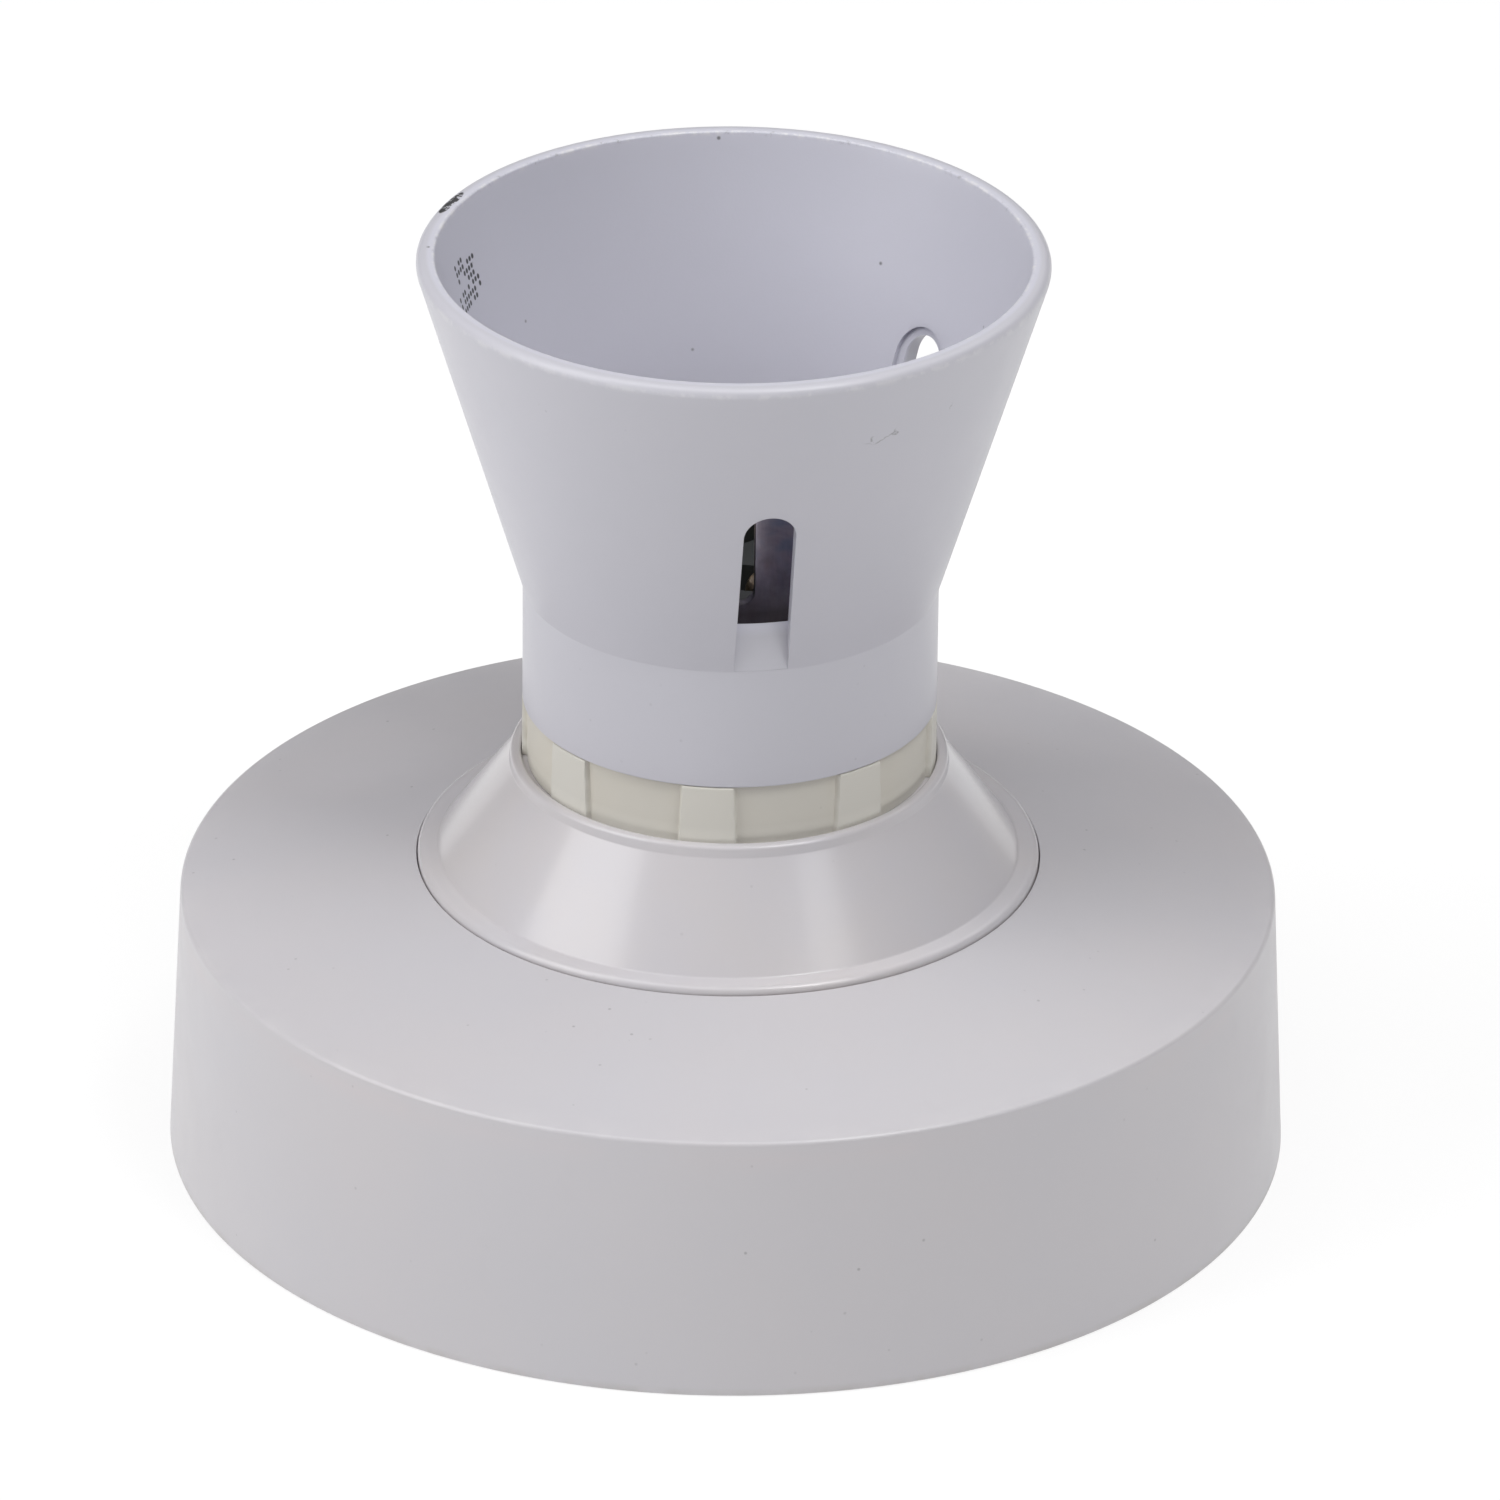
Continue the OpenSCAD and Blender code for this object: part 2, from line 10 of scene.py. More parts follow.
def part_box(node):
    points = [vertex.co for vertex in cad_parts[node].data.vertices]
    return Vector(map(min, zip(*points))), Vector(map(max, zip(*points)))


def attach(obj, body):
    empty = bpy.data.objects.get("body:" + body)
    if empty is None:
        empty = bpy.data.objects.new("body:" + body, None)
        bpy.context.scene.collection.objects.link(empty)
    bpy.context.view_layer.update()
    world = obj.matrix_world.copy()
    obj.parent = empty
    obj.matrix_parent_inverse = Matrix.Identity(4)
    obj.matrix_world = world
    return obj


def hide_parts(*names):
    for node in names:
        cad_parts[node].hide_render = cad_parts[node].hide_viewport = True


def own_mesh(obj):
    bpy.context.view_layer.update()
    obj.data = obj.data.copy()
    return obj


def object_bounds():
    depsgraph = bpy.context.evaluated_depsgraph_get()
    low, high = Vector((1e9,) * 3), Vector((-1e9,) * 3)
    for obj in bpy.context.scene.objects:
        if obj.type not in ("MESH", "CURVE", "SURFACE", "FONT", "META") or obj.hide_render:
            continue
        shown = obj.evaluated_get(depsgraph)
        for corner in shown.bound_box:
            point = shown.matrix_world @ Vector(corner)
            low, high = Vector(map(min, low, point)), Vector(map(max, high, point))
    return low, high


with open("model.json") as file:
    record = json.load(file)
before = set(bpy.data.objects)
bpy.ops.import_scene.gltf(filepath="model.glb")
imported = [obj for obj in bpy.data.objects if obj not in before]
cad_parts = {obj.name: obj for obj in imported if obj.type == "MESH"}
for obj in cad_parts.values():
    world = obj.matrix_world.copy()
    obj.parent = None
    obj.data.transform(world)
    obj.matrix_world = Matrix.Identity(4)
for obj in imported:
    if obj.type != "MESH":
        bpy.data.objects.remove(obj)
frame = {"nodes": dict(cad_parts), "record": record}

CAD_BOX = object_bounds()
MM = 0.001
SEGMENTS = 288  # round the large lathed pieces


# ---------------------------------------------------------------- sizes, from the frame and the design

def low(node, axis):
    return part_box(node)[0][axis] / MM


def high(node, axis):
    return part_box(node)[1][axis] / MM


COVER_R = high("base_cover", 0)
SHOULDER_R, SHOULDER_Z = 48.85, 24.3
HOLE_R, HOLE_Z = 27.8, 27.6
SEAT_Z, LEDGE_R = 25.6, 24.5
COVER_WALL = 2.0
COVER_SLOPE = (HOLE_Z - SHOULDER_Z) / (SHOULDER_R - HOLE_R)
RIBS, RIB_LOW_R, RIB_HIGH_R, RIB_T, RIB_Z, RIB_TOP_Z = 6, 46.7, 48.4, 1.6, 0.6, 14.6

COLLAR_Z = low("collar", 2)
FLANGE_R = high("collar", 0) + 0.1
CONE_FOOT = (25.87, 28.25)
CONE_TOP = (19.55, 36.87)
COLLAR_TOP_Z, COLLAR_BORE_R, COLLAR_WALL = 37.3, 16.6, 1.7
LIP_Z, LIP_R, LIP_BORE_R = high("collar", 2), 19.45, 18.47

RING_R, PAD_R = 17.95, 18.4
RING_Z, RING_TOP_Z = low("lock_ring", 2), high("lock_ring", 2) + 0.06
PADS, PAD_ANGLE, PAD_AZIMUTH = 8, 16.0, -5.8

NECK_R, FLARE_Z = 18.38, 54.5
NECK_Z, RIM_Z = low("skirt", 2), high("skirt", 2) + 0.2
RIM_R, RIM_BORE_R = 28.02, 26.15
BORE_SLOPE = 0.304
WEB_Z, WEB_TOP_Z, WEB_BORE_R = 54.4, 55.5, 12.6
SLOTS, SLOT_AZIMUTH, SLOT_W, SLOT_TOP_Z = 3, 8.45, 4.6, 71.9
POCKET_MARGIN, POCKET_DEPTH, POCKET_Z = 0.8, 0.4, 57.0

NUT_ROOT_R, THREAD_ROOT_R, PITCH, RIDGE = 16.85, 15.7, 2.0, 0.45
BARREL_Z, BARREL_TOP_Z, THREAD_Z = 8.0, 53.4, 31.0
BARREL_R, BARREL_BORE_R, FOOT_R, FOOT_T = 15.2, 13.2, 17.0, 3.0
SEAT_LOW_Z, SEAT_HIGH_Z, NECK_BORE_R, SEAT_BORE_R = 45, 51, 11.3, 13.7  # where the contact block sits
EARS, EAR_AT_R, EAR_R, EAR_T, EAR_HOLE_R = (45, 225), 20.1, 4.2, 2.2, 1.9
WINDOW_W, WINDOW_Z, WINDOW_TOP_Z = 14, 12, 19

SLEEVE_R, SLEEVE_BORE_R, SLEEVE_LOW_R, SLEEVE_STEP_Z = 12.0, 11.2, 11.0, 58.5
CONTACT_AT_R, CONTACT_AZIMUTH = 6.0, 33.0
SPRING_R, WIRE_R, SPRING_TURNS = 1.95, 0.22, 7
LEAD_R, CORE_R = 1.2, 0.7
SLEEVE_Z, SLEEVE_TOP_Z = low("bayonet_sleeve", 2), high("bayonet_sleeve", 2)
SLEEVE_FLANGE_R, SLEEVE_FLANGE_T = 15.4, 0.8
J_SLOTS, J_AZIMUTH, J_W, J_TWIST, J_BOTTOM_Z, J_RISE = 3, 3.2, 3.0, 18.2, 57.9, 1.3


# ---------------------------------------------------------------- mesh helpers

def rounded(a, c, b, r, steps):
    """Points of an arc of radius r in place of the corner c between the points a and b."""
    a, c, b = Vector(a), Vector(c), Vector(b)
    u, v = (a - c).normalized(), (b - c).normalized()
    half = u.angle(v) / 2
    middle = c + (u + v).normalized() * r / math.sin(half)
    first, last = c + u * r / math.tan(half) - middle, c + v * r / math.tan(half) - middle
    start = math.atan2(first.y, first.x)
    turn = math.copysign(math.pi - 2 * half, first.x * last.y - first.y * last.x)
    return [
        (middle.x + r * math.cos(start + turn * i / steps), middle.y + r * math.sin(start + turn * i / steps))
        for i in range(steps + 1)
    ]


def outline(corners, steps=8):
    """A closed outline from corners (x, y) or (x, y, radius)."""
    points = []
    for i, corner in enumerate(corners):
        before, after = corners[i - 1][:2], corners[(i + 1) % len(corners)][:2]
        if len(corner) == 3 and corner[2] > 0:
            points += rounded(before, corner[:2], after, corner[2], steps)
        else:
            points.append(tuple(corner[:2]))
    return points


def spaced(a, b, step):
    """Points from a to b, both included, no more than step apart."""
    count = max(1, math.ceil(math.dist(a, b) / step))
    return [(a[0] + (b[0] - a[0]) * i / count, a[1] + (b[1] - a[1]) * i / count) for i in range(count + 1)]


def densified(points, step):
    """The closed outline, with no side longer than step."""
    dense = []
    for a, b in zip(points, points[1:] + points[:1]):
        dense += spaced(a, b, step)[:-1]
    return dense


def finished(name, bm, sharp=32):
    """An object from the mesh, smooth but for edges sharper than so many degrees."""
    bmesh.ops.remove_doubles(bm, verts=bm.verts, dist=1e-7)
    bmesh.ops.recalc_face_normals(bm, faces=bm.faces)
    mesh = bpy.data.meshes.new(name)
    bm.to_mesh(mesh)
    bm.free()
    mesh.shade_smooth()
    mesh.set_sharp_from_angle(angle=math.radians(sharp))
    piece = bpy.data.objects.new(name, mesh)
    bpy.context.scene.collection.objects.link(piece)
    return piece


def lathe_bmesh(points, segments=SEGMENTS, shape=None):
    """The outline of (radius, height) points turned round Z. shape(azimuth, r, z) may change each radius."""
    bm = bmesh.new()
    rings = []
    for i in range(segments):
        azimuth = 360 * i / segments
        a = math.radians(azimuth)
        ring = []
        for r, z in points:
            r_here = shape(azimuth, r, z) if shape else r
            ring.append(bm.verts.new((r_here * math.sin(a) * MM, -r_here * math.cos(a) * MM, z * MM)))
        rings.append(ring)
    count = len(points)
    for i in range(segments):
        here, there = rings[i], rings[(i + 1) % segments]
        for k in range(count):
            bm.faces.new((here[k], there[k], there[(k + 1) % count], here[(k + 1) % count]))
    return bm


def prism(polygon, near, far):
    """The (across, up) polygon as a solid that runs along -Y from near to far."""
    bm = bmesh.new()
    first, last = [[bm.verts.new((x * MM, -y * MM, z * MM)) for x, z in polygon] for y in (near, far)]
    for k in range(len(polygon)):
        nxt = (k + 1) % len(polygon)
        bm.faces.new((first[k], first[nxt], last[nxt], last[k]))
    bm.faces.new(first)
    bm.faces.new(reversed(last))
    return bm


def arch(width, bottom_z, top_z, near, far, foot=0.0):
    """A prism with an arched top, wider by foot on each side at its bottom."""
    half, arch_z = width / 2, top_z - width / 2
    curve = [
        (half * math.cos(math.radians(t)), arch_z + half * math.sin(math.radians(t)))
        for t in range(0, 181, 6)
    ]
    return prism([(half + foot, bottom_z)] + curve + [(-half - foot, bottom_z)], near, far)


def cone(low_r, high_r, low_z, high_z, at=(0, 0), segments=720):
    """An upright cone or cylinder, in mm."""
    bm = bmesh.new()
    bmesh.ops.create_cone(
        bm, cap_ends=True, segments=segments, radius1=low_r * MM, radius2=high_r * MM,
        depth=(high_z - low_z) * MM,
        matrix=Matrix.Translation((at[0] * MM, at[1] * MM, (low_z + high_z) / 2 * MM)),
    )
    return bm


def add_box(bm, low_corner, high_corner, azimuth=0):
    """Adds a box, given in mm and then turned round Z, to the mesh."""
    size = [(b - a) * MM for a, b in zip(low_corner, high_corner)]
    centre = Vector([(a + b) / 2 * MM for a, b in zip(low_corner, high_corner)])
    placed = Matrix.Rotation(math.radians(azimuth), 4, "Z") @ Matrix.Translation(centre)
    bmesh.ops.create_cube(bm, size=1, matrix=placed @ Matrix.Diagonal((*size, 1)))


def apply_modifiers(piece):
    """Bakes the piece's modifiers into its mesh."""
    depsgraph = bpy.context.evaluated_depsgraph_get()
    mesh = bpy.data.meshes.new_from_object(piece.evaluated_get(depsgraph))
    piece.modifiers.clear()
    piece.data = mesh


def combine(piece, operation, bm):
    """Cuts the mesh out of the piece, keeps only what lies in it, or joins it on."""
    other = finished("other", bm)
    boolean = piece.modifiers.new("combine", "BOOLEAN")
    boolean.operation = operation
    boolean.solver = "EXACT"
    boolean.object = other
    apply_modifiers(piece)
    bpy.data.objects.remove(other)


def turned(bm, azimuth):
    """The mesh, turned round Z."""
    bm.transform(Matrix.Rotation(math.radians(azimuth), 4, "Z"))
    return bm


def soften(piece, width, near, sharp=40):
    """Bevels the sharp edges whose middle near() accepts, then smooths the piece."""
    bm = bmesh.new()
    bm.from_mesh(piece.data)
    edges = [
        e for e in bm.edges
        if len(e.link_faces) == 2
        and e.calc_face_angle(0) > math.radians(sharp)
        and near((e.verts[0].co + e.verts[1].co) / 2 / MM)
    ]
    bmesh.ops.bevel(
        bm, geom=edges, offset=width * MM, segments=3, profile=0.5, affect="EDGES", clamp_overlap=True
    )
    bm.to_mesh(piece.data)
    bm.free()
    piece.data.shade_smooth()
    piece.data.set_sharp_from_angle(angle=math.radians(32))


def thread_height(azimuth, z, low_z, high_z):
    """How far a thread's ridge stands at this place, from 0 to 1, fading at the thread's ends."""
    root, flank = 0.12, 0.22  # shares of the pitch, each on both sides of a ridge
    phase = (z / PITCH - azimuth / 360) % 1
    ridge = min(max((0.5 - abs(phase - 0.5) - root) / flank, 0), 1)
    fade = min(max((z - low_z) / 1.0, 0), 1) * min(max((high_z - z) / 1.0, 0), 1)
    return ridge * fade


# ---------------------------------------------------------------- materials

class Shader:
    """A material under construction, with short calls for the nodes it uses."""

    def __init__(self, name):
        self.material = bpy.data.materials.new(name)
        self.material.use_nodes = True
        self.nodes = self.material.node_tree.nodes
        self.links = self.material.node_tree.links
        self.bsdf = self.nodes["Principled BSDF"]
        self.coords = self.add("ShaderNodeTexCoord").outputs["Object"]

    def add(self, kind, inputs=None, **settings):
        node = self.nodes.new(kind)
        for key, value in settings.items():
            setattr(node, key, value)
        for key, value in (inputs or {}).items():
            self.put(node.inputs[key], value)
        return node

    def put(self, socket, value):
        if isinstance(value, bpy.types.NodeSocket):
            self.links.new(value, socket)
        else:
            socket.default_value = value

    def set(self, **values):
        for key, value in values.items():
            self.put(self.bsdf.inputs[key.replace("_", " ")], value)

    def noise(self, per_mm, detail=3, roughness=0.55, stretch=(1, 1, 1), distortion=0):
        mapped = self.add("ShaderNodeMapping", {"Vector": self.coords, "Scale": stretch}).outputs[0]
        return self.add(
            "ShaderNodeTexNoise",
            {
                "Vector": mapped, "Scale": per_mm / MM, "Detail": detail,
                "Roughness": roughness, "Distortion": distortion,
            },
        ).outputs["Fac"]

    def spots(self, per_mm, radius):
        """1 in small round spots, 0 elsewhere."""
        cells = self.add("ShaderNodeTexVoronoi", {"Vector": self.coords, "Scale": per_mm / MM})
        return self.remap(cells.outputs["Distance"], radius, radius * 0.5, 0, 1)

    def remap(self, value, from_low, from_high, to_low, to_high):
        return self.add(
            "ShaderNodeMapRange",
            {
                "Value": value, "From Min": from_low, "From Max": from_high,
                "To Min": to_low, "To Max": to_high,
            },
        ).outputs["Result"]

    def math(self, operation, a, b=0.0):
        node = self.add("ShaderNodeMath", operation=operation)
        self.put(node.inputs[0], a)
        self.put(node.inputs[1], b)
        return node.outputs[0]

    def times(self, *factors):
        """The product of the factors."""
        product = factors[0]
        for factor in factors[1:]:
            product = self.math("MULTIPLY", product, factor)
        return product

    def mix(self, factor, a, b):
        node = self.add("ShaderNodeMix", data_type="RGBA")
        for name, value in (("Factor_Float", factor), ("A_Color", a), ("B_Color", b)):
            socket = next(s for s in node.inputs if s.identifier == name)
            if name == "Factor_Float" or isinstance(value, bpy.types.NodeSocket):
                self.put(socket, value)
            else:
                socket.default_value = (*value, 1)
        return next(s for s in node.outputs if s.identifier == "Result_Color")

    def axes(self):
        """The place on the piece in millimetres: x, y, z and the distance from the axis."""
        split = self.add("ShaderNodeSeparateXYZ", {"Vector": self.coords})
        x, y, z = (self.times(split.outputs[k], 1 / MM) for k in range(3))
        return x, y, z, self.math("SQRT", self.math("ADD", self.times(x, x), self.times(y, y)))

    def dot_grid(self, across, up, pitch, radius):
        """1 in small round dots on a square grid, with half of them left out at random."""
        cells, squares = [], []
        for value in (across, up):
            steps = self.math("DIVIDE", value, pitch)
            cells.append(self.math("FLOOR", steps))
            off = self.math("SUBTRACT", self.math("FRACT", steps), 0.5)
            squares.append(self.times(off, off))
        distance = self.math("SQRT", self.math("ADD", *squares))
        dots = self.remap(distance, radius / pitch, 0.7 * radius / pitch, 0, 1)
        cell = self.add("ShaderNodeCombineXYZ", {"X": cells[0], "Y": cells[1]}).outputs[0]
        chance = self.add("ShaderNodeTexWhiteNoise", {"Vector": cell}).outputs["Value"]
        return self.times(dots, self.math("GREATER_THAN", chance, 0.5))

    def within(self, value, low_end, high_end):
        """1 between the two ends, 0 elsewhere."""
        return self.times(self.math("GREATER_THAN", value, low_end), self.math("LESS_THAN", value, high_end))

    def band(self, value, centre, reach):
        """1 at the centre, falling to 0 at that reach on both sides."""
        off = self.math("ABSOLUTE", self.math("SUBTRACT", value, centre))
        return self.remap(off, 0, reach, 1, 0)

    def bump(self, *layers):
        """Bump from (height, depth in mm) layers."""
        normal = None
        for height, depth in layers:
            inputs = {"Height": height, "Distance": depth * MM, "Strength": 1.0}
            if normal is not None:
                inputs["Normal"] = normal
            normal = self.add("ShaderNodeBump", inputs).outputs["Normal"]
        self.set(Normal=normal)


def moulded_plastic(name, colour, roughness, grain=0.004, orange_peel=0.006, dust=0.12, warm=(1.03, 1, 0.95)):
    """Moulded plastic: a slightly uneven tint and gloss, fine grain, soft waves and a little dust."""
    s = Shader(name)
    cool_tint, warm_tint = [c * 0.985 for c in colour], [c * w for c, w in zip(colour, warm)]
    tint = s.mix(s.remap(s.noise(0.045, detail=4), 0.3, 0.7, 0, 1), cool_tint, warm_tint)
    smudge = s.noise(0.16, detail=5, roughness=0.65, distortion=0.6)
    tint = s.mix(s.remap(smudge, 0.62, 0.8, 0, 0.10), tint, [c * 0.82 for c in colour])
    specks = s.times(s.spots(0.42, 0.075), s.remap(s.noise(0.12), 0.5, 0.62, 0, dust * 4))
    tint = s.mix(specks, tint, [c * 0.35 for c in colour])
    gloss = s.math("ADD", s.remap(smudge, 0.3, 0.75, -0.035, 0.06), roughness)
    s.set(Base_Color=tint, Roughness=gloss, IOR=1.5)
    s.bump((s.noise(0.35, detail=2), orange_peel), (s.noise(4.5, detail=2), grain))
    return s, tint


def cover_material():
    s, tint = moulded_plastic(
        "cover_plastic", (0.549, 0.537, 0.566), 0.34, grain=0.007, orange_peel=0.010, warm=(1.015, 1, 0.985)
    )
    z = s.axes()[2]
    edge = s.times(s.band(z, SHOULDER_Z, 0.4), s.remap(s.noise(0.22, detail=6), 0.4, 0.62, 0, 0.12))
    tint = s.mix(edge, tint, (0.72, 0.705, 0.70))
    blush = s.times(s.band(z, SHOULDER_Z - 1.6, 1.5), s.remap(s.noise(0.06, detail=3), 0.4, 0.6, 0, 0.3))
    tint = s.mix(blush, tint, (0.60, 0.54, 0.55))
    foot = s.times(s.remap(z, 0.8, 0, 0, 1), s.remap(s.noise(0.3, detail=5), 0.4, 0.6, 0.1, 0.5))
    s.set(Base_Color=s.mix(foot, tint, (0.40, 0.38, 0.36)))
    return s.material


def collar_material():
    """Glossier than the other plastics, with painted reddish shade in the gap round the flange."""
    s, tint = moulded_plastic(
        "collar_plastic", (0.578, 0.564, 0.598), 0.22, grain=0.003, orange_peel=0.005, dust=0.04
    )
    z, r = s.axes()[2:]
    s.set(Roughness=s.math("ADD", s.remap(s.noise(2.4, detail=5), 0.35, 0.7, -0.02, 0.05), 0.22))
    # Painted reddish shade on the flange's outer wall in the gap round the flange, darker towards the foot.
    below = s.remap(z, CONE_FOOT[1] - 0.5, CONE_FOOT[1] - 1.4, 0, 0.55)
    gap_shade = s.times(below, s.remap(r, 27, 27.5, 0, 1))
    s.set(Base_Color=s.mix(gap_shade, tint, (0.46, 0.36, 0.33)), Coat_Weight=0.15, Coat_Roughness=0.1)
    return s.material


def with_worn_rim(s, tint):
    """Crumbly light wear on both edges of the rim, and dark grains in the inner one."""
    z, r = s.axes()[2:]
    crumbs = s.noise(0.55, detail=8, roughness=0.75)
    outer_edge = s.times(s.band(z, RIM_Z - 0.6, 0.6), s.band(r, RIM_R, 0.4))
    tint = s.mix(s.times(outer_edge, s.remap(crumbs, 0.47, 0.56, 0, 1)), tint, (0.72, 0.71, 0.72))
    grains = s.noise(0.8, detail=8, roughness=0.75)
    inner_edge = s.times(s.band(z, RIM_Z, 0.5), s.band(r, RIM_BORE_R, 0.35))
    tint = s.mix(s.times(inner_edge, s.remap(grains, 0.48, 0.6, 0, 1)), tint, (0.74, 0.73, 0.74))
    return s.mix(s.times(inner_edge, s.remap(grains, 0.42, 0.36, 0, 0.7)), tint, (0.30, 0.29, 0.30))


def with_rim_scuff(s, tint):
    """A short black scuff on top of the rim, at the back left."""
    scuff_r = 27.05
    x, y, z, r = s.axes()
    at_back_left = s.times(s.band(y, 10.3, 2.7), s.remap(x, -20, -21, 0, 1))
    on_top = s.times(s.band(r, scuff_r, 0.6), s.band(z, RIM_Z, 0.9))
    broken = s.remap(s.noise(1.0, detail=6, roughness=0.7), 0.44, 0.5, 0, 1)
    scuff = s.remap(s.times(at_back_left, on_top, broken), 0.14, 0.2, 0, 0.95)
    return s.mix(scuff, tint, (0.03, 0.03, 0.032))


def with_scratches(s, tint, inside):
    """Two patches of hair scratches on the front right of the flare, outside only."""
    x, y, z = s.axes()[:3]
    hairs = s.remap(s.math("ABSOLUTE", s.math("SUBTRACT", s.noise(0.35, detail=5), 0.5)), 0, 0.02, 1, 0)
    wide_patch = s.times(s.band(x, 12.9, 2.0), s.band(z, RIM_Z - 6.7, 0.9))
    small_patch = s.times(s.band(x, 18.5, 0.6), s.band(z, RIM_Z - 5.4, 0.9))
    outside = s.math("SUBTRACT", s.math("MAXIMUM", wide_patch, small_patch), inside)
    at_front = s.times(outside, s.math("LESS_THAN", y, -12))
    return s.mix(s.times(s.remap(at_front, 0.1, 0.3, 0, 0.75), hairs), tint, (0.22, 0.22, 0.23))


def with_printed_dots(s, tint, inside):
    """A patch of printed dots inside, at the left. They are placed at random and spell nothing."""
    pitch, dot_r, girth_r = 0.62, 0.27, 25
    x, y, z = s.axes()[:3]
    along = s.times(s.math("ARCTAN2", x, s.times(y, -1)), girth_r)
    patch = s.times(s.within(along, -79 * pitch, -69 * pitch), s.within(z, 126 * pitch, 133 * pitch))
    dots = s.times(patch, inside, s.dot_grid(along, z, pitch, dot_r))
    return s.mix(dots, tint, (0.035, 0.035, 0.04))


def skirt_material():
    """Satin plastic, painted a little lighter inside to stand in for light in the bore, with wear on the rim,
    scratches, a printed patch and specks.
    """
    s, tint = moulded_plastic(
        "skirt_plastic", (0.543, 0.540, 0.590), 0.34,
        grain=0.007, orange_peel=0.007, dust=0.05, warm=(1.01, 1, 1),
    )
    z, r = s.axes()[2:]
    bore_r = s.math("ADD", s.times(z, BORE_SLOPE), RIM_BORE_R - RIM_Z * BORE_SLOPE)
    inside = s.remap(s.math("SUBTRACT", r, bore_r), 0.8, 0.5, 0, 1)
    # Painted light: the inside of the skirt a little lighter and bluer than the outside, lifting the shade in
    # the bore.
    tint = s.mix(s.times(inside, 0.8), tint, (0.605, 0.603, 0.680))
    tint = with_worn_rim(s, tint)
    tint = with_rim_scuff(s, tint)
    tint = with_scratches(s, tint, inside)
    tint = with_printed_dots(s, tint, inside)
    specks = s.times(s.spots(0.25, 0.06), inside, 0.8)
    s.set(Base_Color=s.mix(specks, tint, (0.1, 0.1, 0.1)))
    return s.material


def cream_material():
    """Cream plastic, with painted light on the grip pads and along the foot of the lock ring."""
    s, tint = moulded_plastic(
        "cream_plastic", (0.600, 0.582, 0.532), 0.46, grain=0.006, orange_peel=0.008, dust=0.1
    )
    z, r = s.axes()[2:]
    # Painted light: the grip pads lighter than the ring between them, as if they stood out of the shade under
    # the neck.
    painted_pad_light = s.remap(r, RING_R + 0.1, PAD_R - 0.1, 0, 1)
    tint = s.mix(painted_pad_light, tint, (0.635, 0.616, 0.562))
    # Painted light along the foot of the ring, lifting the shade that falls there inside the collar's lip.
    on_ring = s.remap(r, RING_R - 0.6, RING_R - 0.3, 0, 1)
    foot = s.times(s.remap(z, RING_Z + 1.9, RING_Z + 0.4, 0, 0.6), on_ring)
    s.set(Base_Color=s.mix(foot, tint, (0.76, 0.74, 0.68)))
    return s.material


def metal(name, bright, dark, roughness, along=(1, 1, 1)):
    """A metal with brushing along one direction, tarnish and fine scratches."""
    s = Shader(name)
    tarnish = s.noise(0.25, detail=6, roughness=0.6, distortion=0.5)
    brushing = s.noise(1.2, detail=5, roughness=0.7, stretch=along)
    tint = s.mix(s.remap(tarnish, 0.35, 0.68, 0, 1), bright, dark)
    tint = s.mix(s.remap(brushing, 0.4, 0.75, 0, 0.25), tint, [c * 0.5 for c in dark])
    s.set(
        Base_Color=tint, Metallic=1.0,
        Roughness=s.math("ADD", s.remap(brushing, 0.3, 0.7, -0.06, 0.12), roughness),
    )
    s.bump((brushing, 0.004), (s.noise(3.0, detail=2), 0.002))
    return s, tint


def sleeve_material():
    """Zinc plate with a passivated film, which shifts between lilac, straw and blue."""
    s, tint = metal("plated_steel", (0.38, 0.345, 0.395), (0.22, 0.185, 0.22), 0.34, along=(1, 1, 0.15))
    film = s.noise(0.10, detail=3, distortion=1.2)
    tint = s.mix(s.remap(film, 0.50, 0.64, 0, 0.55), tint, (0.13, 0.18, 0.27))
    tint = s.mix(s.remap(film, 0.46, 0.36, 0, 0.5), tint, (0.28, 0.18, 0.16))
    z, r = s.axes()[2:]
    # Painted shade: the sleeve darkens to near black low down, towards its foot inside the skirt, and less so
    # on the flange.
    off_flange = s.remap(z, SLEEVE_Z + 0.9, SLEEVE_Z + 1.8, 0.3, 1)
    painted_foot_shade = s.times(s.remap(z, 61.5, 57, 0, 0.85), off_flange)
    tint = s.mix(painted_foot_shade, tint, (0.04, 0.034, 0.032))
    bare_edge = s.times(s.band(r, SLEEVE_R, 0.25), s.band(z, SLEEVE_TOP_Z, 0.4))
    s.set(Base_Color=s.mix(bare_edge, tint, (0.62, 0.60, 0.62)))
    return s.material


def stage_material():
    s = Shader("studio_floor")
    s.set(Base_Color=(0.22, 0.22, 0.22, 1), Roughness=0.9, Specular_IOR_Level=0.1)
    s.set(Emission_Color=(1, 1, 1, 1), Emission_Strength=0.79)
    return s.material


